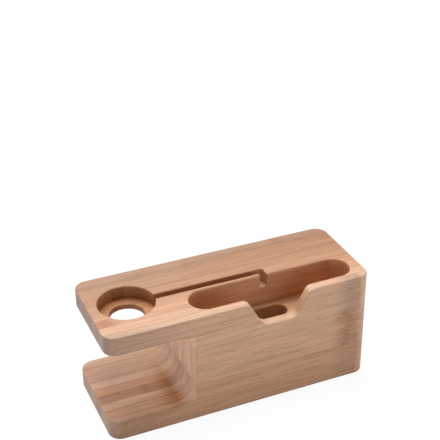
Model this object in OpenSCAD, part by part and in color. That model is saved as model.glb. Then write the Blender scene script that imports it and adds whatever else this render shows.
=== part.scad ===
// Charging stand carved from one laminated bamboo block: an arm with a round
// charger pocket, a shelf under it, and a body with an upright slot.
// Frame: X along the length, Y from front to back, Z up. The origin is the centre
// of the footprint, on the surface that the block stands on.

/* [Block] */
// Length of the block, left end to right end
body_l = 141; // [128:1:190]
// Width of the block, front to back
body_w = 54; // [50:1:58]
// Height of the block
body_h = 60; // [54:1:72]
// Radius of the four upright corners
corner_r = 6.5; // [3:0.5:9]

/* [Bamboo strips] */
// Number of strips glued side by side in each course
strip_count = 9; // [8:1:9]
// Thickness of the front strip and the rear strip of a course together, after planing
outer_pair_t = 11.3; // [10.4:0.1:12.4]
// Front strip of the base course
base_front_t = 4.7; // [4:0.1:5.2]
// Front strip of the middle course
middle_front_t = 5.6; // [4:0.1:5.8]
// Front strip of the top course
top_front_t = 4.5; // [4:0.1:5.2]
// Height of the base course
base_h = 20.5; // [16:0.5:24]
// Height of the top course; the middle course takes the rest
top_h = 19; // [18:0.5:22]

/* [Opening under the arm] */
// How far the opening reaches in from the left end
opening_l = 44.4; // [38:0.1:46]
// Thickness of the shelf under the opening
shelf_t = 10.5; // [6:0.5:14]
// Thickness of the arm over the opening
arm_t = 10; // [8.5:0.5:14]
// Radius of the opening's two inner corners
opening_r = 8; // [3:0.5:12]

/* [Charger pocket] */
// Diameter of the pocket in the arm
pocket_d = 28.8; // [24:0.1:34]
// Depth of the pocket
pocket_depth = 7; // [4:0.5:8]
// Centre of the pocket from the left end
pocket_x = 19.5; // [18:0.5:24]
// Centre of the pocket from the front face
pocket_y = 27; // [22:0.5:29]
// Diameter of the hole through the pocket's floor
hole_d = 17.5; // [10:0.5:20]

/* [Charger cable channel] */
// Width of the channel
channel_w = 3.8; // [2.5:0.1:5]
// Centre line of the channel from the front face
channel_y = 26.4; // [24.6:0.1:30]

/* [Upright slot] */
// Length of the slot, between its round ends
slot_l = 87.8; // [72:0.1:89]
// Width of the slot
slot_w = 16.8; // [10:0.1:17.4]
// Depth of the slot
slot_depth = 17; // [13:0.5:22]
// Wall between the slot and the front face
front_wall = 5.4; // [4:0.1:6]
// Wall between the slot and the right end
end_wall = 5.9; // [4:0.1:8]

/* [Thumb notch] */
// Width of the notch's floor, between its slanting sides
notch_floor_w = 17.8; // [10:0.1:24]
// Width of the notch at the top face
notch_top_w = 33.4; // [26:0.1:44]
// Depth of the notch
notch_depth = 14.2; // [8:0.1:15]
// How far the notch's middle is left of the slot's middle
notch_offset = 1.1; // [0:0.1:4]
// Radius of the notch's two lower corners
notch_low_r = 6; // [2:0.5:7]
// Radius of the notch's two upper corners
notch_high_r = 4; // [1:0.5:6]

/* [Cable outlet] */
// Length of the drop hole in the slot's floor
well_l = 18; // [14:0.5:26]
// Width of the drop hole
well_w = 10; // [6:0.5:14]
// Width of the groove under the block, out to the rear face
groove_w = 12; // [6:0.5:13]
// Depth of the groove
groove_depth = 8; // [5:0.5:12]

/* [Hidden] */
$fn = 96;
// How far a cutter runs on past the face that it opens
past = 2;
COURSES = ["base", "middle", "top"];
course_low = [0, base_h, body_h - top_h];
course_high = [base_h, body_h - top_h, body_h];
front_t = [base_front_t, middle_front_t, top_front_t];
// Thickness of a full strip; the strips between the outer two are all full
strip_t = (body_w - outer_pair_t) / (strip_count - 2);

arm_under = body_h - arm_t;
pocket_floor = body_h - pocket_depth;
slot_floor = body_h - slot_depth;
slot_y = front_wall + slot_w / 2;
slot_left = body_l - end_wall - slot_l + slot_w / 2;
slot_right = body_l - end_wall - slot_w / 2;
slot_x = (slot_left + slot_right) / 2;
notch_x = slot_x - notch_offset;
notch_floor = body_h - notch_depth;

// Lean of the notch's sides from the upright, and the lengths from each
// sharp corner to where its round starts
notch_lean = atan((notch_top_w - notch_floor_w) / 2 / notch_depth);
notch_low_run = notch_low_r * tan((90 - notch_lean) / 2);
notch_high_run = notch_high_r * tan((90 - notch_lean) / 2);

pale = [0.86, 0.70, 0.55];
honey = [0.80, 0.62, 0.46];
brown = [0.67, 0.47, 0.33];
// Tone of each strip, front to back, for each course
TONES = [
    [pale, honey, pale, brown, honey, pale, honey, honey, honey],
    [pale, pale, honey, pale, honey, pale, honey, pale, honey],
    [pale, pale, pale, pale, honey, honey, honey, honey, honey]
];

function strip_name(course, i) = str(COURSES[course], "_strip_", i);
// Front face of strip i, counted from 1; the last strip ends at the rear face
function strip_front(course, i) = i == 1 ? 0 : front_t[course] + (i - 2) * strip_t;
function strip_back(course, i) = i == strip_count ? body_w : strip_front(course, i + 1);

// An upright prism from one corner to the opposite one
module block(low, high) {
    translate(low) cube(high - low);
}

// An upright round-ended prism around a line along X
module stadium(x0, x1, y, r, z0, z1) {
    block([x0, y - r, z0], [x1, y + r, z1]);
    for (x = [x0, x1]) translate([x, y, z0]) cylinder(r = r, h = z1 - z0);
}

// A round bar along Y, through the whole width
module cross_bar(x, z, r) {
    translate([x, body_w + past, z]) rotate([90, 0, 0]) cylinder(r = r, h = body_w + 2 * past);
}

module rounded_block() {
    block([corner_r, 0, 0], [body_l - corner_r, body_w, body_h]);
    block([0, corner_r, 0], [body_l, body_w - corner_r, body_h]);
    for (x = [corner_r, body_l - corner_r])
        for (y = [corner_r, body_w - corner_r])
            translate([x, y, 0]) cylinder(r = corner_r, h = body_h);
}

module opening() {
    block([-past, -past, shelf_t], [opening_l - opening_r, body_w + past, arm_under]);
    block([-past, -past, shelf_t + opening_r], [opening_l, body_w + past, arm_under - opening_r]);
    for (z = [shelf_t + opening_r, arm_under - opening_r])
        cross_bar(opening_l - opening_r, z, opening_r);
}

module charger_pocket() {
    translate([pocket_x, pocket_y, pocket_floor]) cylinder(d = pocket_d, h = pocket_depth + past);
    translate([pocket_x, pocket_y, arm_under - past])
        cylinder(d = hole_d, h = arm_t - pocket_depth + 2 * past);
}

// The channel runs from the pocket behind the slot, then turns forward into it
module cable_channel() {
    top = body_h + past;
    half = channel_w / 2;
    block([pocket_x, channel_y - half, pocket_floor], [slot_x, channel_y + half, top]);
    block([slot_x - half, slot_y, pocket_floor], [slot_x + half, channel_y, top]);
    translate([slot_x, channel_y, pocket_floor]) cylinder(d = channel_w, h = top - pocket_floor);
}

module upright_slot() {
    stadium(slot_left, slot_right, slot_y, slot_w / 2, slot_floor, body_h + past);
}

// Half of the notch, on the side that `side` gives: -1 left, 1 right
module notch_half(side) {
    low_x = notch_floor_w / 2;
    high_x = notch_top_w / 2;
    s = sin(notch_lean);
    c = cos(notch_lean);
    low_c = [low_x - notch_low_run, notch_floor + notch_low_r];
    high_c = [high_x + notch_high_run, body_h - notch_high_r];
    low_side = [low_x + notch_low_run * s, notch_floor + notch_low_run * c];
    high_side = [high_x - notch_high_run * s, body_h - notch_high_run * c];
    translate([notch_x, slot_y, 0]) mirror([side < 0 ? 1 : 0, 0, 0]) rotate([90, 0, 0]) {
        linear_extrude(slot_y + past) polygon([
            [0, notch_floor], [low_c.x, notch_floor], low_c, low_side,
            [high_x, body_h], [high_x, body_h + past], [0, body_h + past]
        ]);
        translate([low_c.x, low_c.y, 0]) cylinder(r = notch_low_r, h = slot_y + past);
        difference() {
            linear_extrude(slot_y + past) polygon([
                [high_x, body_h + past], [high_x, body_h], high_side, high_c,
                [high_c.x, body_h], [high_c.x, body_h + past]
            ]);
            translate([high_c.x, high_c.y, -past]) cylinder(r = notch_high_r, h = slot_y + 3 * past);
        }
    }
}

module thumb_notch() {
    for (side = [-1, 1]) notch_half(side);
}

module cable_outlet() {
    reach = (well_l - well_w) / 2;
    stadium(slot_x - reach, slot_x + reach, slot_y, well_w / 2, -past, slot_floor + past);
    block([slot_x - groove_w / 2, slot_y, -past], [slot_x + groove_w / 2, body_w + past, groove_depth]);
    translate([slot_x, slot_y, -past]) cylinder(d = groove_w, h = groove_depth + past);
}

module carved_block() {
    difference() {
        rounded_block();
        opening();
        charger_pocket();
        cable_channel();
        upright_slot();
        thumb_notch();
        cable_outlet();
    }
}

// One strip of one course, with its share of every cut
module strip(course, i) {
    color(TONES[course][i - 1])
        translate([-body_l / 2, -body_w / 2, 0])
            intersection() {
                block([0, strip_front(course, i), course_low[course]],
                      [body_l, strip_back(course, i), course_high[course]]);
                carved_block();
            }
}

for (c = [0:2])
    for (i = [1:strip_count])
        strip(c, i);
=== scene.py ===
"""Looks of a charging stand carved from one block of laminated bamboo.

The block is built once, with eased edges. A Geometry Nodes tree then saws it along
its glue lines into the strips that the frame names, each in its own bamboo.
"""
import math

import bmesh
import bpy
from mathutils import Matrix, Vector


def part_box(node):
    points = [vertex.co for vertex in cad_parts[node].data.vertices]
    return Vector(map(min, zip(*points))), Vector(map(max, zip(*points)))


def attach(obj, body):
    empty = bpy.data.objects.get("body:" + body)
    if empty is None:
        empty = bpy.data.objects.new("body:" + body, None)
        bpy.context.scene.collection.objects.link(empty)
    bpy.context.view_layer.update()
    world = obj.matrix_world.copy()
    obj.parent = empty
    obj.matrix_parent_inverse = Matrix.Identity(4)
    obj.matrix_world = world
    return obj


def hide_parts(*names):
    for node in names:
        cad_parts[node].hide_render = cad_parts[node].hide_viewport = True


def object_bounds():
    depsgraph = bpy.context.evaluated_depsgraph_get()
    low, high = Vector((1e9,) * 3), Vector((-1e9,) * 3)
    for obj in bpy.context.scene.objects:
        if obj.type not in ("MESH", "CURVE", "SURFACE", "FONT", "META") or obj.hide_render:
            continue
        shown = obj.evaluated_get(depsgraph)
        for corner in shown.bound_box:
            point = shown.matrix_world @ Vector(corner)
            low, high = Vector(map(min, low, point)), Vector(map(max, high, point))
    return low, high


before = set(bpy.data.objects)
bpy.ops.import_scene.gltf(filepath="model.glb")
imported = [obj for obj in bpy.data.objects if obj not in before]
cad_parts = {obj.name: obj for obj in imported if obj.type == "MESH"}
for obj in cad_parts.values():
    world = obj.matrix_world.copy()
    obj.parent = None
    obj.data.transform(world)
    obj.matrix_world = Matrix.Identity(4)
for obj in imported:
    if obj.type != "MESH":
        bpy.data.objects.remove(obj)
cad_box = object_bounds()

MM = 0.001
BLOCK_LOW = Vector(cad_box[0]) / MM
BLOCK_HIGH = Vector(cad_box[1]) / MM

# Cuts, in millimetres from the block's left end, front face and underside
CORNER_R = 6.5
SHELF_T = 10.5
ARM_T = 10.0
OPENING_L = 44.4
OPENING_R = 8.0
POCKET_D = 28.8
POCKET_DEPTH = 7.0
POCKET_X = 19.5
POCKET_Y = 27.0
HOLE_D = 17.5
CHANNEL_W = 3.8
CHANNEL_Y = 26.4
SLOT_L = 87.8
SLOT_W = 16.8
SLOT_DEPTH = 17.0
FRONT_WALL = 5.4
END_WALL = 5.9
NOTCH_FLOOR_W = 17.8
NOTCH_TOP_W = 33.4
NOTCH_DEPTH = 14.2
NOTCH_OFFSET = 1.1
NOTCH_LOW_R = 6.0
NOTCH_HIGH_R = 4.0
WELL_L = 18.0
WELL_W = 10.0
GROOVE_W = 12.0
GROOVE_DEPTH = 8.0
# Thickness of a full strip
STRIP_T = 6.1

# How far a cutter runs on past the face that it opens
PAST = 3.0
# Largest turn between two points of an arc, in degrees
ARC_STEP = 3.0
# Width of the sanded ease along every outer edge, and at the inner end of the opening
EASE = 0.55
WIDE_EASE = 1.1
EASE_SEGMENTS = 4
# Two points this near are one, and two levels this near are one level
WELD = 0.0005
SAME_LEVEL = 0.01
# Turns between two faces: one that makes an edge sharp, one that is flat, one that is smooth
SHARP_TURN = math.radians(30)
FLAT_TURN = math.radians(0.1)
SMOOTH_TURN = math.radians(40)

BODY_L = BLOCK_HIGH.x - BLOCK_LOW.x
BODY_W = BLOCK_HIGH.y - BLOCK_LOW.y
BODY_H = BLOCK_HIGH.z - BLOCK_LOW.z
ARM_UNDER = BODY_H - ARM_T
POCKET_FLOOR = BODY_H - POCKET_DEPTH
SLOT_FLOOR = BODY_H - SLOT_DEPTH
SLOT_Y = FRONT_WALL + SLOT_W / 2
SLOT_LEFT = BODY_L - END_WALL - SLOT_L + SLOT_W / 2
SLOT_RIGHT = BODY_L - END_WALL - SLOT_W / 2
SLOT_X = (SLOT_LEFT + SLOT_RIGHT) / 2
# Inner end of the opening, from the block's middle
OPENING_END = OPENING_L + BLOCK_LOW.x


def arc(cx, cy, radius, start, end):
    """Points of an arc about (cx, cy), from one angle to another, in degrees."""
    steps = max(2, math.ceil(abs(end - start) / ARC_STEP))
    turns = [math.radians(start + (end - start) * i / steps) for i in range(steps + 1)]
    return [(cx + radius * math.cos(t), cy + radius * math.sin(t)) for t in turns]


def rounded_rectangle(low_x, low_y, high_x, high_y, radius):
    """A rectangle's outline with four round corners, anticlockwise."""
    return (
        arc(high_x - radius, low_y + radius, radius, -90, 0)
        + arc(high_x - radius, high_y - radius, radius, 0, 90)
        + arc(low_x + radius, high_y - radius, radius, 90, 180)
        + arc(low_x + radius, low_y + radius, radius, 180, 270)
    )


def rectangle(low_x, low_y, high_x, high_y):
    return [(low_x, low_y), (high_x, low_y), (high_x, high_y), (low_x, high_y)]


def circle(cx, cy, diameter):
    return arc(cx, cy, diameter / 2, 0, 360)[:-1]


def stadium(low_x, high_x, cy, width):
    """A round-ended outline around a line along X."""
    return arc(high_x, cy, width / 2, -90, 90) + arc(low_x, cy, width / 2, 90, 270)


def prism(outline, start, end, along="Z"):
    """A closed object between two levels of an outline. Along Y, the outline is in X and Z."""
    mesh = bmesh.new()
    rings = []
    for level in (start, end):
        if along == "Z":
            points = [Vector((a, b, level)) for a, b in outline]
        else:
            points = [Vector((a, level, b)) for a, b in outline]
        rings.append([mesh.verts.new((p + BLOCK_LOW) * MM) for p in points])
    mesh.faces.new(rings[0])
    mesh.faces.new(rings[1])
    for i in range(len(outline)):
        j = (i + 1) % len(outline)
        mesh.faces.new([rings[0][i], rings[0][j], rings[1][j], rings[1][i]])
    bmesh.ops.recalc_face_normals(mesh, faces=mesh.faces)
    data = bpy.data.meshes.new("prism")
    mesh.to_mesh(data)
    mesh.free()
    piece = bpy.data.objects.new("prism", data)
    bpy.context.scene.collection.objects.link(piece)
    return piece


def settle(piece):
    """Gives a piece the plain mesh that its modifiers make, and takes them off."""
    bpy.context.view_layer.update()
    depsgraph = bpy.context.evaluated_depsgraph_get()
    piece.data = bpy.data.meshes.new_from_object(piece.evaluated_get(depsgraph))
    piece.modifiers.clear()


def mill(piece, cutter):
    """Cuts a piece with a cutter, and takes the cutter away."""
    modifier = piece.modifiers.new("milling", "BOOLEAN")
    modifier.operation = "DIFFERENCE"
    modifier.solver = "MANIFOLD"
    modifier.object = cutter
    settle(piece)
    bpy.data.objects.remove(cutter)


def notch_outline():
    """The notch seen from the front: a floor, two slanting sides, and round corners."""
    centre = SLOT_X - NOTCH_OFFSET
    low = NOTCH_FLOOR_W / 2
    high = NOTCH_TOP_W / 2
    floor = BODY_H - NOTCH_DEPTH
    lean = math.degrees(math.atan((high - low) / NOTCH_DEPTH))
    ease = math.tan(math.radians((90 - lean) / 2))
    low_x = low - NOTCH_LOW_R * ease
    high_x = high + NOTCH_HIGH_R * ease
    right = arc(low_x, floor + NOTCH_LOW_R, NOTCH_LOW_R, -90, -lean)
    right += arc(high_x, BODY_H - NOTCH_HIGH_R, NOTCH_HIGH_R, 180 - lean, 90)
    right.append((high_x, BODY_H + PAST))
    left = [(-x, z) for x, z in reversed(right)]
    return [(centre + x, z) for x, z in right + left]


def cutters():
    """Every cut in the block, each as a solid a little longer than the cut."""
    reach = BODY_H + PAST
    half = CHANNEL_W / 2
    opening = [(-PAST, SHELF_T)]
    opening += arc(OPENING_L - OPENING_R, SHELF_T + OPENING_R, OPENING_R, -90, 0)
    opening += arc(OPENING_L - OPENING_R, ARM_UNDER - OPENING_R, OPENING_R, 0, 90)
    opening.append((-PAST, ARM_UNDER))
    well_reach = (WELL_L - WELL_W) / 2
    groove = stadium(SLOT_X, SLOT_X, SLOT_Y, GROOVE_W)
    groove_run = rectangle(
        SLOT_X - GROOVE_W / 2, SLOT_Y, SLOT_X + GROOVE_W / 2, BODY_W + PAST
    )
    return [
        prism(opening, -PAST, BODY_W + PAST, "Y"),
        prism(circle(POCKET_X, POCKET_Y, POCKET_D), POCKET_FLOOR, reach),
        prism(circle(POCKET_X, POCKET_Y, HOLE_D), ARM_UNDER - PAST, reach),
        prism(
            rectangle(POCKET_X, CHANNEL_Y - half, SLOT_X, CHANNEL_Y + half),
            POCKET_FLOOR,
            reach,
        ),
        prism(rectangle(SLOT_X - half, SLOT_Y, SLOT_X + half, CHANNEL_Y), POCKET_FLOOR, reach),
        prism(circle(SLOT_X, CHANNEL_Y, CHANNEL_W), POCKET_FLOOR, reach),
        prism(stadium(SLOT_LEFT, SLOT_RIGHT, SLOT_Y, SLOT_W), SLOT_FLOOR, reach),
        prism(notch_outline(), -PAST, SLOT_Y, "Y"),
        prism(
            stadium(SLOT_X - well_reach, SLOT_X + well_reach, SLOT_Y, WELL_W),
            -PAST,
            SLOT_FLOOR + PAST,
        ),
        prism(groove, -PAST, GROOVE_DEPTH),
        prism(groove_run, -PAST, GROOVE_DEPTH),
    ]


def tidy_faces(data):
    """Joins the triangles of each flat face."""
    mesh = bmesh.new()
    mesh.from_mesh(data)
    bmesh.ops.remove_doubles(mesh, verts=mesh.verts, dist=WELD * MM)
    bmesh.ops.dissolve_limit(
        mesh, angle_limit=FLAT_TURN, verts=mesh.verts, edges=mesh.edges, delimit=set()
    )
    mesh.to_mesh(data)
    mesh.free()


def ease_width(place):
    """Width of the ease at a place on a sharp edge: wider where the opening's end meets a face."""
    on_face = min(place.y, BODY_W - place.y) < SAME_LEVEL
    in_height = SHELF_T - SAME_LEVEL < place.z < ARM_UNDER + SAME_LEVEL
    in_length = place.x < OPENING_L + SAME_LEVEL
    along = (place.x - OPENING_L + OPENING_R) / OPENING_R
    if not (on_face and in_height and in_length and along > 0):
        return EASE
    return EASE + (WIDE_EASE - EASE) * min(1.0, along)


def ease_edges(piece):
    """Rounds every sharp outer edge, as sanding does."""
    mesh = bmesh.new()
    mesh.from_mesh(piece.data)
    weight = mesh.edges.layers.float.new("bevel_weight_edge")
    for edge in mesh.edges:
        if edge.is_manifold and edge.calc_face_angle_signed() > SHARP_TURN:
            middle = (edge.verts[0].co + edge.verts[1].co) / 2 / MM - BLOCK_LOW
            edge[weight] = ease_width(middle) / WIDE_EASE
    mesh.to_mesh(piece.data)
    mesh.free()
    bevel = piece.modifiers.new("sanding", "BEVEL")
    bevel.limit_method = "WEIGHT"
    bevel.offset_type = "OFFSET"
    bevel.width = WIDE_EASE * MM
    bevel.segments = EASE_SEGMENTS
    bevel.profile = 0.5
    bevel.use_clamp_overlap = False
    bevel.loop_slide = False
    settle(piece)


def carve_block():
    """The whole stand as one solid, before it is parted along its glue lines."""
    outline = rounded_rectangle(0, 0, BODY_L, BODY_W, CORNER_R)
    block = prism(outline, 0, BODY_H)
    for cutter in cutters():
        mill(block, cutter)
    tidy_faces(block.data)
    ease_edges(block)
    return block


def glue_planes(node):
    """Low and high Y and Z of a strip's glue faces, with outer sides moved well away."""
    low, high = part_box(node)
    sides = []
    for axis in (1, 2):
        for value, outer, away in (
            (low[axis] / MM, BLOCK_LOW[axis], -PAST),
            (high[axis] / MM, BLOCK_HIGH[axis], PAST),
        ):
            sides.append(value + away if abs(value - outer) < SAME_LEVEL else value)
    return sides


# Brings Blender's noise, less its middle, to about -1 to 1
NOISE_GAIN = 2.6


class Graph:
    """Short ways to add nodes to one tree."""

    def __init__(self, tree):
        self.tree = tree

    def add(self, kind):
        return self.tree.nodes.new(kind)

    def join(self, value, socket):
        if isinstance(value, bpy.types.NodeSocket):
            self.tree.links.new(value, socket)
        else:
            socket.default_value = value

    def math(self, operation, a, b=0.0, clamp=False):
        node = self.add("ShaderNodeMath")
        node.operation = operation
        node.use_clamp = clamp
        self.join(a, node.inputs[0])
        self.join(b, node.inputs[1])
        return node.outputs[0]

    def plus(self, a, b):
        return self.math("ADD", a, b)

    def minus(self, a, b):
        return self.math("SUBTRACT", a, b)

    def times(self, a, b):
        return self.math("MULTIPLY", a, b)

    def rest(self, value):
        """What is missing to 1."""
        return self.math("SUBTRACT", 1.0, value)

    def over(self, a, b):
        """1 where a is more than b, else 0."""
        return self.math("GREATER_THAN", a, b)

    def under(self, a, b):
        """1 where a is less than b, else 0."""
        return self.math("LESS_THAN", a, b)

    def vector(self, operation, a, b):
        node = self.add("ShaderNodeVectorMath")
        node.operation = operation
        self.join(a, node.inputs[0])
        self.join(b, node.inputs[1])
        return node.outputs[0]

    def xyz(self, x, y, z):
        node = self.add("ShaderNodeCombineXYZ")
        for value, socket in zip((x, y, z), node.inputs):
            self.join(value, socket)
        return node.outputs[0]

    def parts(self, vector):
        node = self.add("ShaderNodeSeparateXYZ")
        self.join(vector, node.inputs[0])
        return node.outputs

    def ramp(self, value, low, high):
        """0 below low, 1 above high, and smooth between."""
        node = self.add("ShaderNodeMapRange")
        node.interpolation_type = "SMOOTHSTEP"
        self.join(value, node.inputs["Value"])
        self.join(low, node.inputs["From Min"])
        self.join(high, node.inputs["From Max"])
        return node.outputs["Result"]

    def noise(self, vector, stretch, detail=2.0, roughness=0.5):
        """Noise from about -1 to 1, with its grain size set for each axis."""
        node = self.add("ShaderNodeTexNoise")
        self.join(self.vector("MULTIPLY", vector, stretch), node.inputs["Vector"])
        node.inputs["Scale"].default_value = 1.0
        node.inputs["Detail"].default_value = detail
        node.inputs["Roughness"].default_value = roughness
        return self.times(self.minus(node.outputs[0], 0.5), NOISE_GAIN)

    def bump_at(self, value, centre, width):
        """1 at the centre, falling smoothly to 0 a few widths away."""
        away = self.math("DIVIDE", self.minus(value, centre), width)
        return self.math("EXPONENT", self.times(self.times(away, away), -1.0))

    def mix(self, factor, a, b, blend="MIX"):
        node = self.add("ShaderNodeMix")
        node.data_type = "RGBA"
        node.blend_type = blend
        colours = [s for s in node.inputs if s.type == "RGBA"]
        self.join(factor, node.inputs[0])
        self.join(a, colours[0])
        self.join(b, colours[1])
        return [s for s in node.outputs if s.type == "RGBA"][0]

    def tint(self, colour, by, factor=1.0):
        """A colour multiplied by another, as far as the factor says."""
        return self.mix(factor, colour, by, "MULTIPLY")


# What the saw is given for a strip: the block, the glue planes in metres, and the bamboo
SAW_INPUTS = (
    ("Block", "NodeSocketGeometry"),
    ("Front", "NodeSocketFloat"),
    ("Rear", "NodeSocketFloat"),
    ("Low", "NodeSocketFloat"),
    ("High", "NodeSocketFloat"),
    ("Bamboo", "NodeSocketMaterial"),
)


def strip_saw():
    """Geometry Nodes that keep the part of the block between one strip's glue planes."""
    tree = bpy.data.node_groups.new("strip saw", "GeometryNodeTree")
    for name, kind in SAW_INPUTS:
        tree.interface.new_socket(name, in_out="INPUT", socket_type=kind)
    tree.interface.new_socket("Strip", in_out="OUTPUT", socket_type="NodeSocketGeometry")
    g = Graph(tree)
    given = g.add("NodeGroupInput").outputs
    front, rear, low, high = (given[name] for name in ("Front", "Rear", "Low", "High"))
    blank = g.add("GeometryNodeMeshCube")
    length = (BODY_L + 2 * PAST) * MM
    g.join(g.xyz(length, g.minus(rear, front), g.minus(high, low)), blank.inputs["Size"])
    place = g.add("GeometryNodeTransform")
    middle = g.xyz(0.0, g.times(g.plus(front, rear), 0.5), g.times(g.plus(low, high), 0.5))
    g.join(middle, place.inputs["Translation"])
    g.join(blank.outputs["Mesh"], place.inputs["Geometry"])
    common = g.add("GeometryNodeMeshBoolean")
    common.operation = "INTERSECT"
    common.solver = "MANIFOLD"
    g.join(given["Block"], common.inputs["Mesh"])
    g.join(place.outputs["Geometry"], common.inputs["Mesh"])
    solid = g.add("GeometryNodeRealizeInstances")
    g.join(common.outputs["Mesh"], solid.inputs["Geometry"])
    oiled = g.add("GeometryNodeSetMaterial")
    g.join(solid.outputs["Geometry"], oiled.inputs["Geometry"])
    g.join(given["Bamboo"], oiled.inputs["Material"])
    g.join(oiled.outputs["Geometry"], g.add("NodeGroupOutput").inputs["Strip"])
    return tree


def saw_strip(block, saw, node, material):
    """One strip of the block, as a new object with smooth curves and crisp flats."""
    piece = bpy.data.objects.new(node + "_oiled", block.data)
    bpy.context.scene.collection.objects.link(piece)
    sawing = piece.modifiers.new("sawing", "NODES")
    sawing.node_group = saw
    sockets = {s.name: s.identifier for s in saw.interface.items_tree if s.in_out == "INPUT"}
    for name, plane in zip(("Front", "Rear", "Low", "High"), glue_planes(node)):
        sawing[sockets[name]] = plane * MM
    sawing[sockets["Bamboo"]] = material
    settle(piece)
    tidy_faces(piece.data)
    piece.data.shade_smooth()
    piece.data.set_sharp_from_angle(angle=SMOOTH_TURN)
    weighted = piece.modifiers.new("flat faces", "WEIGHTED_NORMAL")
    weighted.keep_sharp = True
    weighted.weight = 100
    settle(piece)
    piece.data.name = piece.name
    return piece


# Grain size of each mark: noise turns per millimetre along X, Y and Z
RAGGED = (0.05, 0.35, 0.35)
WANDER_Y = (0.018, 0.05, 0.05)
WANDER_Z = (0.021, 0.06, 0.04)
BROAD = (0.006, 0.22, 0.16)
STREAK = (0.012, 0.90, 0.75)
FINE = (0.045, 2.3, 2.1)
DASH = (0.17, 1.9, 1.7)
BUNDLE = (0.016, 1.35, 1.35)
MOTTLE = (0.62, 2.2, 1.7)
GLUE_PATCH = (0.05, 0.2, 0.2)
CORNER_SHADE_PATCH = (0.16, 0.22, 0.2)

# How much each mark adds to the light of the ground
GROUND_LIGHT = 0.64
BROAD_LIGHT = 0.24
STREAK_LIGHT = 0.50
FINE_LIGHT = 1.10
DASH_LIGHT = -0.60
BUNDLE_LIGHT = -0.22
DEPTH_LIGHT = -0.26
# How much stronger the figure is on milled faces than on sanded ones
MILLED_FIGURE = 0.7

# Linear colours that a strip's tone is multiplied by
PALE_PART = (1.12, 1.13, 1.15, 1.0)
DEEP_PART = (0.78, 0.72, 0.65, 1.0)
KNUCKLE_BROWN = (0.60, 0.40, 0.30, 1.0)
# Linear colours that the look so far is multiplied by
# Painted light: the faces milled in the opening are made paler
OPENING_PAINTED_LIGHT = (1.16, 1.16, 1.16, 1.0)
GLUED = (0.56, 0.44, 0.37, 1.0)
PALE_END = (1.12, 1.13, 1.14, 1.0)
DEEP_END = (0.80, 0.78, 0.76, 1.0)
BUNDLE_END = (0.60, 0.50, 0.42, 1.0)
# Painted shade in the opening's inner corner
CORNER_SHADE_TINT = (0.84, 0.70, 0.42, 1.0)
# Painted shade on the pocket's walls and painted warm light on its floor
POCKET_WALL_SHADE = (0.93, 0.86, 0.74, 1.0)
POCKET_FLOOR_LIGHT = (1.12, 1.00, 0.88, 1.0)
# Painted highlight on the wide ease at the opening's inner end
ARRIS_HIGHLIGHT = (1.15, 1.14, 1.12, 1.0)
# Painted shade along the foot
BOTTOM_SHADE = (0.50, 0.45, 0.42, 1.0)
BLACK = (0.0, 0.0, 0.0, 1.0)
# Linear colours that end grain evens out to: at the two ends, on the arm's part of them, in the
# opening, elsewhere. The one in the opening is made paler with painted bounce light; the one
# elsewhere, in the pocket, slot and notch, is made darker and more orange with painted shade and
# bounce light.
OUTER_GRAIN = (0.40, 0.28, 0.25, 1.0)
ARM_GRAIN = (0.30, 0.24, 0.255, 1.0)
OPENING_LIT_GRAIN = (0.70, 0.49, 0.395, 1.0)
BORE_SHADED_GRAIN = (0.50, 0.28, 0.16, 1.0)

# How far past a face still counts as that face
CLOSE = 0.2
# How far in from each end the end grain counts as outer
END_GRAIN_DEPTH = 5.0
# How far the left end's painted shade reaches, where the right one lies, and where it stops short
# of the corner
LEFT_PAINTED_SHADE = 48.0
RIGHT_PAINTED_SHADE = (BLOCK_HIGH.x - 23.5, BLOCK_HIGH.x - 11.0)
PAINTED_SHADE_STOP = (BLOCK_HIGH.x - 7.5, BLOCK_HIGH.x - 4.5)
# Half the width of a glue line at its core and at its soft edge, and what milling adds
LINE_CORE = 0.08
LINE_EDGE = 0.42
MILLED_LINE = 0.22
# Middle of the painted shade in the opening's inner corner, its half widths, and how it slants
# towards the rear
CORNER_SHADE_X = OPENING_END - 6.8
CORNER_SHADE_Z = SHELF_T + 1.0
CORNER_SHADE_RUN = 4.2
CORNER_SHADE_RISE = 3.6
CORNER_SHADE_SLANT = 0.13
# The depths, from the block's middle, between which the painted corner shade starts and between
# which it fades
CORNER_SHADE_START = (-26.0, -21.0)
CORNER_SHADE_FADE = (-22.0, 20.0)
# Levels under the top face between which the pocket's rim passes from sanded to the pocket's
# painted shade and light
RIM = (BODY_H - 1.6, BODY_H - 0.4)
# Levels between which the painted shade at the foot fades
BOTTOM_SHADE_LEVELS = (0.25, 1.0)
# Steps along X, Y and Z by which a strip's seed moves its figure, in millimetres
SEED_STEPS = (53.0, 17.0, 29.0)

GROUP_INPUTS = (
    ("Tone", "NodeSocketColor"),
    ("Seed", "NodeSocketFloat"),
    ("Knuckle X", "NodeSocketFloat"),
    ("Knuckle width", "NodeSocketFloat"),
    ("Knuckle strength", "NodeSocketFloat"),
    ("Knuckle speckle", "NodeSocketFloat"),
    ("Painted shade left", "NodeSocketFloat"),
    ("Painted shade right", "NodeSocketFloat"),
    ("Culm side", "NodeSocketFloat"),
    ("Front glue", "NodeSocketFloat"),
    ("Rear glue", "NodeSocketFloat"),
    ("Low glue", "NodeSocketFloat"),
    ("High glue", "NodeSocketFloat"),
)
GROUP_OUTPUTS = (
    ("Colour", "NodeSocketColor"),
    ("Roughness", "NodeSocketFloat"),
    ("Height", "NodeSocketFloat"),
)


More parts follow.
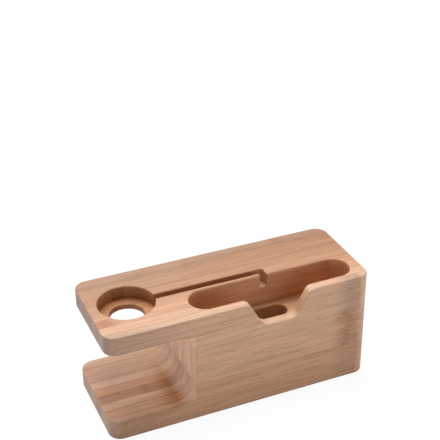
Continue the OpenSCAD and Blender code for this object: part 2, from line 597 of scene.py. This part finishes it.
class Bamboo:
    """Solid bamboo in one node group. Each method finds a place or adds one layer of the look."""

    def __init__(self, tree):
        g = self.g = Graph(tree)
        self.given = g.add("NodeGroupInput").outputs
        place = g.add("ShaderNodeTexCoord")
        point = g.vector("MULTIPLY", place.outputs["Object"], (1 / MM, 1 / MM, 1 / MM))
        self.x, self.y, self.z = g.parts(point)
        self.normal_x, self.normal_y, self.normal_z = g.parts(place.outputs["Normal"])
        shift = g.xyz(*(g.times(self.given["Seed"], step) for step in SEED_STEPS))
        self.sample = g.vector("ADD", point, shift)
        self.inside = self.find_opening()
        self.knuckle = self.find_knuckle()
        self.grain = self.bend_fibres()
        self.depth = self.find_depth()
        self.streak = g.noise(self.grain, STREAK, 3.0, 0.62)
        self.fine = g.noise(self.grain, FINE, 2.0, 0.7)
        self.bundle = self.draw_bundles()
        self.light = self.find_light()
        self.stain = self.find_stain()
        self.line = self.find_glue()
        self.across = self.find_end_grain()

    def find_opening(self):
        """The faces milled inside the opening."""
        g = self.g
        left = g.under(self.x, OPENING_END + CLOSE)
        level = g.times(g.over(self.z, SHELF_T - CLOSE), g.under(self.z, ARM_UNDER + CLOSE))
        return g.times(left, level)

    def find_knuckle(self):
        """How strongly a place belongs to the strip's knuckle, with a ragged edge."""
        g = self.g
        ragged = g.times(g.noise(self.sample, RAGGED, 2.0), 1.6)
        along = g.plus(self.x, ragged)
        near = g.bump_at(along, self.given["Knuckle X"], self.given["Knuckle width"])
        return g.times(near, self.given["Knuckle strength"])

    def bend_fibres(self):
        """The sampled place, moved aside as fibres wander, and more so at a knuckle."""
        g = self.g
        wander = g.plus(0.45, g.times(self.knuckle, 0.6))
        side_y = g.times(g.noise(self.sample, WANDER_Y, 1.0), wander)
        side_z = g.times(g.noise(self.sample, WANDER_Z, 1.0), wander)
        return g.vector("ADD", self.sample, g.xyz(0.0, side_y, side_z))

    def find_depth(self):
        """The place between the culm's two sides, from about -0.5 to 0.5."""
        g = self.g
        part = g.math("DIVIDE", g.minus(self.y, self.given["Front glue"]), STRIP_T)
        return g.times(g.minus(part, 0.5), self.given["Culm side"])

    def draw_bundles(self):
        """Bundles of fibre: dots on the end grain, thin dashes along it."""
        g = self.g
        cells = g.add("ShaderNodeTexVoronoi")
        g.join(g.vector("MULTIPLY", self.grain, BUNDLE), cells.inputs["Vector"])
        cells.inputs["Scale"].default_value = 1.0
        reach = g.plus(0.30, g.times(self.depth, 0.12))
        return g.ramp(g.minus(reach, cells.outputs["Distance"]), 0.0, 0.22)

    def find_light(self):
        """The light and dark of the ground, from 0 to 1."""
        g = self.g
        broad = g.noise(self.grain, BROAD, 2.0)
        dash = g.ramp(g.noise(self.sample, DASH, 2.0, 0.6), 0.1, 0.8)
        marks = 0.0
        for layer, weight in (
            (self.streak, STREAK_LIGHT),
            (self.fine, FINE_LIGHT),
            (dash, DASH_LIGHT),
            (self.bundle, BUNDLE_LIGHT),
            (self.depth, DEPTH_LIGHT),
        ):
            marks = g.plus(marks, g.times(layer, weight))
        figure = g.plus(1.0, g.times(self.inside, MILLED_FIGURE))
        ground = g.plus(GROUND_LIGHT, g.times(broad, BROAD_LIGHT))
        return g.math("ADD", ground, g.times(marks, figure), clamp=True)

    def find_stain(self):
        """How brown a knuckle is: speckled or smooth."""
        g = self.g
        mottle = g.ramp(g.noise(self.sample, MOTTLE, 3.0, 0.75), -0.30, 0.45)
        speckle = g.times(g.minus(g.times(mottle, 1.3), 0.52), self.given["Knuckle speckle"])
        return g.math("MULTIPLY", self.knuckle, g.plus(0.70, speckle), clamp=True)

    def find_glue(self):
        """Thin, uneven glue lines around the strip."""
        g = self.g
        gaps = [
            g.math("ABSOLUTE", g.minus(place, self.given[name]))
            for place, name in (
                (self.y, "Front glue"),
                (self.y, "Rear glue"),
                (self.z, "Low glue"),
                (self.z, "High glue"),
            )
        ]
        beside = g.math("MINIMUM", gaps[0], gaps[1])
        nearest = g.math("MINIMUM", beside, g.math("MINIMUM", gaps[2], gaps[3]))
        edge = g.plus(LINE_EDGE, g.times(self.inside, MILLED_LINE))
        line = g.rest(g.ramp(nearest, LINE_CORE, edge))
        uneven = g.plus(0.62, g.times(g.noise(self.sample, GLUE_PATCH, 2.0), 0.35))
        return g.math("MULTIPLY", line, uneven, clamp=True)

    def find_end_grain(self):
        """How far a face cuts across the fibres. In the opening's curves it starts sooner."""
        g = self.g
        begin = g.minus(0.45, g.times(self.inside, 0.45))
        return g.ramp(g.math("ABSOLUTE", self.normal_x), begin, 1.0)

    def ground(self):
        """The strip's own colour, with painted shade at the ends of some front strips, and painted
        light on the faces milled in the opening.
        """
        g = self.g
        tone = self.given["Tone"]
        colour = g.mix(self.light, g.tint(tone, DEEP_PART), g.tint(tone, PALE_PART))
        # Painted shade: some front strips are darkened towards the left end and beside the right
        # corner
        left = g.rest(g.ramp(self.x, BLOCK_LOW.x, BLOCK_LOW.x + LEFT_PAINTED_SHADE))
        right = g.times(g.ramp(self.x, *RIGHT_PAINTED_SHADE), g.rest(g.ramp(self.x, *PAINTED_SHADE_STOP)))
        loss = g.times(left, self.given["Painted shade left"])
        loss = g.plus(loss, g.times(right, self.given["Painted shade right"]))
        colour = g.mix(loss, colour, BLACK)
        # Painted light makes the faces milled in the opening paler
        return g.tint(colour, OPENING_PAINTED_LIGHT, self.inside)

    def stain_knuckle(self, colour):
        brown = self.g.tint(self.given["Tone"], KNUCKLE_BROWN)
        return self.g.mix(self.stain, colour, brown)

    def glue(self, colour):
        """Glue lines, clearer on milled faces."""
        g = self.g
        strength = g.plus(0.45, g.times(self.inside, 0.5))
        return g.tint(colour, GLUED, g.times(self.line, strength))

    def even_and_shade_ends(self, colour):
        """End grain takes the oil more evenly: greyish at the two ends, paler with painted bounce
        light in the opening, darker and more orange with painted shade in the pocket, slot and
        notch.
        """
        g = self.g
        outer = g.over(g.math("ABSOLUTE", self.x), BLOCK_HIGH.x - END_GRAIN_DEPTH)
        arm = g.times(g.over(self.z, ARM_UNDER), g.under(self.x, 0.0))
        # Painted shade in the bores and painted light in the opening set the end grain's even
        # colour there
        even = g.mix(outer, BORE_SHADED_GRAIN, g.mix(arm, OUTER_GRAIN, ARM_GRAIN))
        even = g.mix(self.inside, even, OPENING_LIT_GRAIN)
        even = g.tint(even, g.mix(self.light, DEEP_END, PALE_END))
        own = g.plus(g.times(self.line, 0.4), g.times(self.stain, 0.45))
        own = g.plus(own, g.times(self.inside, 0.1))
        evened = g.mix(g.minus(0.65, own), colour, even)
        ends = g.tint(evened, BUNDLE_END, g.times(self.bundle, 0.35))
        return g.mix(self.across, colour, ends)

    def paint_corner_shade(self, colour):
        """Painted shade where the opening turns at its inner end, low in the opening, and further
        in to the rear.
        """
        g = self.g
        along = g.minus(self.x, g.times(self.y, CORNER_SHADE_SLANT))
        near = g.times(
            g.bump_at(along, CORNER_SHADE_X, CORNER_SHADE_RUN),
            g.bump_at(self.z, CORNER_SHADE_Z, CORNER_SHADE_RISE),
        )
        patchy = g.plus(0.85, g.times(g.noise(self.sample, CORNER_SHADE_PATCH, 3.0, 0.6), 0.6))
        fading = g.minus(1.15, g.times(g.ramp(self.y, *CORNER_SHADE_FADE), 0.70))
        fading = g.times(fading, g.ramp(self.y, *CORNER_SHADE_START))
        strength = g.times(g.times(near, patchy), fading)
        strength = g.math("MULTIPLY", strength, self.inside, clamp=True)
        return g.tint(colour, CORNER_SHADE_TINT, strength)

    def paint_pocket_light(self, colour):
        """Painted shade on the round pocket's walls and painted warm light on its floor, below its
        sanded rim.
        """
        g = self.g
        aside = g.math("POWER", g.minus(self.x, POCKET_X + BLOCK_LOW.x), 2.0)
        behind = g.math("POWER", g.minus(self.y, POCKET_Y + BLOCK_LOW.y), 2.0)
        bore = g.under(g.plus(aside, behind), (POCKET_D / 2 + 0.3) ** 2)
        bore = g.times(bore, g.over(self.z, ARM_UNDER + EASE))
        bore = g.times(bore, g.rest(g.ramp(self.z, *RIM)))
        level = g.ramp(self.normal_z, 0.5, 0.9)
        return g.tint(colour, g.mix(level, POCKET_WALL_SHADE, POCKET_FLOOR_LIGHT), bore)

    def paint_arris_highlight(self, colour):
        """Painted highlight: the wide ease around the opening's inner end is made paler."""
        g = self.g
        corner = g.math("ABSOLUTE", g.times(self.normal_x, self.normal_y))
        arris = g.times(self.inside, g.ramp(corner, 0.05, 0.35))
        arris = g.times(arris, g.over(self.x, OPENING_END - OPENING_R))
        return g.tint(colour, ARRIS_HIGHLIGHT, arris)

    def paint_bottom_shade(self, colour):
        """Painted shade along the lowest edge, where the block is set down, but not on its
        underside.
        """
        g = self.g
        underside = g.ramp(g.times(self.normal_z, -1.0), 0.80, 0.95)
        foot = g.times(g.rest(g.ramp(self.z, *BOTTOM_SHADE_LEVELS)), g.rest(underside))
        return g.tint(colour, BOTTOM_SHADE, foot)

    def roughness(self):
        g = self.g
        rough = g.plus(0.46, g.times(self.bundle, 0.08))
        rough = g.plus(rough, g.times(self.streak, 0.04))
        return g.plus(rough, g.times(self.across, 0.16))

    def height(self):
        g = self.g
        height = g.minus(g.times(self.fine, 0.35), self.bundle)
        return g.minus(height, g.times(self.line, 1.2))


def bamboo_group():
    """Solid bamboo: long fibres, streaks, a knuckle, glue lines and dull end grain, with painted
    shade, light and highlight in the opening, the pocket, along the foot and at the front's ends.
    """
    tree = bpy.data.node_groups.new("laminated bamboo", "ShaderNodeTree")
    for name, kind in GROUP_INPUTS:
        tree.interface.new_socket(name, in_out="INPUT", socket_type=kind)
    for name, kind in GROUP_OUTPUTS:
        tree.interface.new_socket(name, in_out="OUTPUT", socket_type=kind)
    wood = Bamboo(tree)
    colour = wood.ground()
    for layer in (
        wood.stain_knuckle,
        wood.glue,
        wood.even_and_shade_ends,
        wood.paint_corner_shade,
        wood.paint_pocket_light,
        wood.paint_arris_highlight,
        wood.paint_bottom_shade,
    ):
        colour = layer(colour)
    result = wood.g.add("NodeGroupOutput")
    wood.g.join(colour, result.inputs["Colour"])
    wood.g.join(wood.roughness(), result.inputs["Roughness"])
    wood.g.join(wood.height(), result.inputs["Height"])
    return tree


# Linear colour of plain bamboo
BAMBOO = Vector((0.62, 0.385, 0.25))
# Shade and warmth of each strip, front to back
STRIPS = {
    "base": (
        (1.02, 0.07), (0.82, 0.13), (0.87, 0.02), (0.57, 0.23), (0.77, 0.17),
        (0.91, 0.00), (0.69, 0.10), (0.66, 0.09), (0.65, 0.07),
    ),
    "middle": (
        (1.12, 0.02), (1.16, 0.00), (0.98, 0.03), (1.14, 0.00), (0.90, 0.08),
        (1.04, 0.03), (0.84, 0.10), (0.98, 0.05), (0.80, 0.09),
    ),
    "top": (
        (1.15, -0.01), (1.16, 0.04), (1.12, 0.11), (0.96, 0.14), (0.87, 0.14),
        (0.77, 0.17), (0.75, 0.16), (0.69, 0.18), (0.65, 0.11),
    ),
}


def strip_tone(node):
    """A strip's colour. Warmth takes away a little green and twice as much blue."""
    course, _, place = node.split("_")
    shade, warmth = STRIPS[course][int(place) - 1]
    red, green, blue = BAMBOO * shade
    return (red, green * (1 - warmth), blue * (1 - 2 * warmth), 1.0)


# Where a strip has a knuckle: place from the left end, half width, strength, speckle
KNUCKLES = {
    "base_strip_4": (24.5, 2.6, 0.80, 1.0),
    "base_strip_7": (96.0, 3.0, 0.55, 1.0),
    "middle_strip_1": (128.5, 5.6, 0.88, 1.0),
    "middle_strip_9": (41.0, 3.5, 0.60, 1.0),
    "top_strip_3": (4.0, 6.5, 1.15, 0.30),
    "top_strip_9": (112.0, 3.0, 0.45, 1.0),
}
# For a strip without one
NO_KNUCKLE = (1000.0, 1.0, 0.0, 0.0)
# How much painted shade darkens a front strip at its left end and beside the right corner
PAINTED_END_SHADE = {
    "base_strip_1": (0.24, 0.16),
    "middle_strip_1": (0.0, 0.16),
    "top_strip_1": (0.27, 0.28),
}
# A strip's seed: the first, and the step to the next
FIRST_SEED = 0.61
NEXT_SEED = 1.37
# How the fibres stand out, and how strongly the oil shines
BUMP_STRENGTH = 0.35
BUMP_HEIGHT = 0.02
OIL_SHINE = 0.32


def bamboo(node, number, group):
    """The material of one strip."""
    material = bpy.data.materials.new(node + " bamboo")
    material.use_nodes = True
    g = Graph(material.node_tree)
    shader = material.node_tree.nodes["Principled BSDF"]
    solid = g.add("ShaderNodeGroup")
    solid.node_tree = group
    at, width, strength, speckle = KNUCKLES.get(node, NO_KNUCKLE)
    shade_left, shade_right = PAINTED_END_SHADE.get(node, (0.0, 0.0))
    front, rear, low, high = glue_planes(node)
    values = {
        "Tone": strip_tone(node),
        "Seed": number * NEXT_SEED + FIRST_SEED,
        "Knuckle X": at + BLOCK_LOW.x,
        "Knuckle width": width,
        "Knuckle strength": strength,
        "Knuckle speckle": speckle,
        "Painted shade left": shade_left,
        "Painted shade right": shade_right,
        "Culm side": 1.0 if number % 2 else -1.0,
        "Front glue": front,
        "Rear glue": rear,
        "Low glue": low,
        "High glue": high,
    }
    for name, value in values.items():
        solid.inputs[name].default_value = value
    bump = g.add("ShaderNodeBump")
    bump.inputs["Strength"].default_value = BUMP_STRENGTH
    bump.inputs["Distance"].default_value = BUMP_HEIGHT * MM
    g.join(solid.outputs["Height"], bump.inputs["Height"])
    g.join(solid.outputs["Colour"], shader.inputs["Base Color"])
    g.join(solid.outputs["Roughness"], shader.inputs["Roughness"])
    g.join(bump.outputs["Normal"], shader.inputs["Normal"])
    shader.inputs["Specular IOR Level"].default_value = OIL_SHINE
    return material


def dress_strips():
    """Replaces each node of the frame with its strip, sawn from the eased block."""
    block = carve_block()
    saw = strip_saw()
    group = bamboo_group()
    for number, node in enumerate(sorted(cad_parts)):
        piece = saw_strip(block, saw, node, bamboo(node, number, group))
        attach(piece, "root")
        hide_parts(node)
    bpy.data.objects.remove(block)


# The camera, in millimetres and degrees
LENS = 85.51
SENSOR = 36.0
LOOK_AT = (37.10, 89.00, 40.0)
DISTANCE = 619.45
TURN = -23.18
TILT = 29.30
ROLL = -0.56


def set_camera():
    turn, tilt, roll = (math.radians(a) for a in (TURN, TILT, ROLL))
    level = Vector((math.sin(turn), -math.cos(turn), 0)) * math.cos(tilt)
    back = level + Vector((0, 0, math.sin(tilt)))
    level_right = Vector((0, 0, 1)).cross(back).normalized()
    level_up = back.cross(level_right)
    right = level_right * math.cos(roll) + level_up * math.sin(roll)
    up = level_up * math.cos(roll) - level_right * math.sin(roll)
    place = (Vector(LOOK_AT) + back * DISTANCE) * MM
    data = bpy.data.cameras.new("camera")
    data.lens = LENS
    data.sensor_width = SENSOR
    data.clip_start = 10 * MM
    camera = bpy.data.objects.new("camera", data)
    camera.matrix_world = Matrix(
        (
            (right.x, up.x, back.x, place.x),
            (right.y, up.y, back.y, place.y),
            (right.z, up.z, back.z, place.z),
            (0, 0, 0, 1),
        )
    )
    bpy.context.scene.collection.objects.link(camera)
    bpy.context.scene.camera = camera


# Soft boxes: place, width and height in metres, and power in watts. All face the block.
LAMPS = (
    ("overhead box", (0.0, 0.35, 1.25), 0.8, 0.8, 13.4),
    ("high rear box", (0.0, 0.95, 0.90), 0.8, 0.8, 5.6),
    ("low rear box", (-0.45, 1.18, 0.30), 0.8, 0.3, 5.9),
    ("near front strip", (0.035, -0.28, 0.10), 0.18, 0.10, 0.118),
    ("low front left strip", (-0.95, -0.90, 0.13), 1.2, 0.22, 0.8),
    ("low front right strip", (0.90, -0.95, 0.13), 1.2, 0.22, 2.5),
    ("low left strip", (-1.25, 0.1, 0.13), 0.8, 0.22, 1.2),
    ("far left box", (-3.2, 0.25, 0.30), 2.0, 0.5, 12.1),
    ("right strip", (1.25, 0.15, 0.35), 0.3, 0.6, 1.7),
)
AIM = Vector((0.0, 0.0, 0.03))
ROOM_LIGHT = 0.03


def set_lamps():
    for name, place, width, height, power in LAMPS:
        data = bpy.data.lights.new(name, "AREA")
        data.shape = "RECTANGLE"
        data.size = width
        data.size_y = height
        data.energy = power
        lamp = bpy.data.objects.new(name, data)
        lamp.location = place
        lamp.rotation_euler = (AIM - Vector(place)).to_track_quat("-Z", "Y").to_euler()
        bpy.context.scene.collection.objects.link(lamp)


def sees_backdrop(g):
    """1 for rays that show the backdrop: camera, mirror and clear rays."""
    ray = g.add("ShaderNodeLightPath")
    seen = g.math("MAXIMUM", ray.outputs["Is Camera Ray"], ray.outputs["Is Glossy Ray"])
    return g.math("MAXIMUM", seen, ray.outputs["Is Transmission Ray"])


def set_room():
    world = bpy.data.worlds.new("room")
    bpy.context.scene.world = world
    world.use_nodes = True
    g = Graph(world.node_tree)
    shade = world.node_tree.nodes["Background"]
    spread = g.times(sees_backdrop(g), 1.0 - ROOM_LIGHT)
    g.join(g.plus(spread, ROOM_LIGHT), shade.inputs["Strength"])
    shade.inputs["Color"].default_value = (1.0, 1.0, 1.0, 1.0)


FLOOR_SIZE = 6.0
# Just under the block, so that the two flat faces don't share a plane
FLOOR_Z = -0.0001
FLOOR_COLOUR = (0.78, 0.78, 0.78, 1.0)
FLOOR_GLOW = 0.93
FLOOR_SHADOW = (0.11, 0.11, 0.11, 1.0)


def set_floor():
    """A pale floor that shows white and keeps a faint shadow."""
    half = FLOOR_SIZE / 2
    data = bpy.data.meshes.new("floor")
    corners = [(x, y, FLOOR_Z) for x, y in rectangle(-half, -half, half, half)]
    data.from_pydata(corners, [], [(0, 1, 2, 3)])
    floor = bpy.data.objects.new("floor", data)
    bpy.context.scene.collection.objects.link(floor)
    material = bpy.data.materials.new("pale floor")
    material.use_nodes = True
    tree = material.node_tree
    tree.nodes.remove(tree.nodes["Principled BSDF"])
    g = Graph(tree)
    paper = g.add("ShaderNodeBsdfDiffuse")
    paper.inputs["Color"].default_value = FLOOR_COLOUR
    shadow = g.add("ShaderNodeBsdfDiffuse")
    shadow.inputs["Color"].default_value = FLOOR_SHADOW
    glow = g.add("ShaderNodeEmission")
    glow.inputs["Strength"].default_value = FLOOR_GLOW
    seen = g.add("ShaderNodeAddShader")
    g.join(shadow.outputs[0], seen.inputs[0])
    g.join(glow.outputs[0], seen.inputs[1])
    either = g.add("ShaderNodeMixShader")
    g.join(sees_backdrop(g), either.inputs[0])
    g.join(paper.outputs[0], either.inputs[1])
    g.join(seen.outputs[0], either.inputs[2])
    g.join(either.outputs[0], tree.nodes["Material Output"].inputs["Surface"])
    data.materials.append(material)


bpy.context.scene.view_settings.view_transform = "Standard"
set_camera()
dress_strips()
set_lamps()
set_room()
set_floor()
